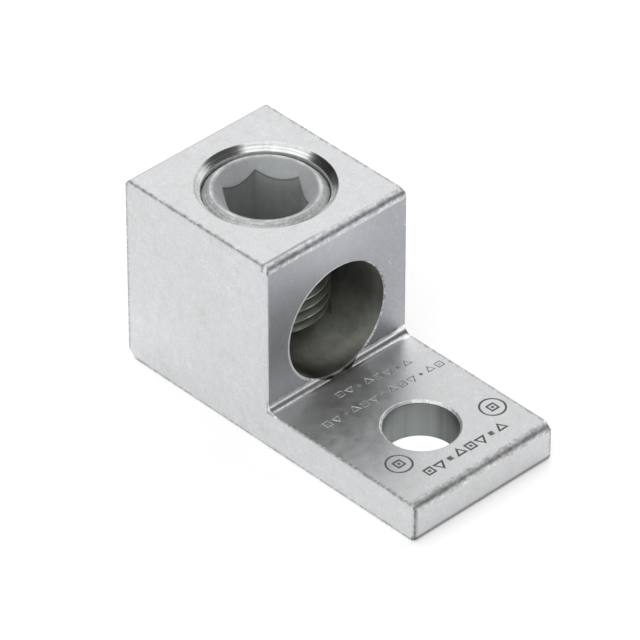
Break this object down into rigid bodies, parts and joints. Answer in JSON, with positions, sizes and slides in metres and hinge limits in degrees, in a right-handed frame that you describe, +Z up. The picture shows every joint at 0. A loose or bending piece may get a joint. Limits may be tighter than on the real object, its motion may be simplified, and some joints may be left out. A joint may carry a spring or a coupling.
{
  "type": "terminal lug",
  "caption": "Aluminium mechanical terminal lug: L-shaped block with a wire bore, a bolt hole in its tang and a hex-socket clamping screw.",
  "frame": {"origin": "middle of the bolt hole, level with the flat underside of the tang", "axes": "+X from the barrel towards the tip of the tang, +Y across the bar, +Z up, out of the tang's upper face and along the screw"},
  "size_m": [0.0555, 0.0254, 0.0297],
  "materials": {
    "tinned_body": "tumbled, tin-plated, satin",
    "screw_metal": "turned and threaded, satin"
  },
  "bodies": {
    "lug": {"lug_body": "tinned_body"},
    "screw": {"clamp_screw": "screw_metal"}
  },
  "joints": [
    {"name": "screw_travel", "type": "slide", "parent": "lug", "child": "screw", "axis": [0, 0, 1], "range_m": [-0.00159, 0.01429]}
  ]
}
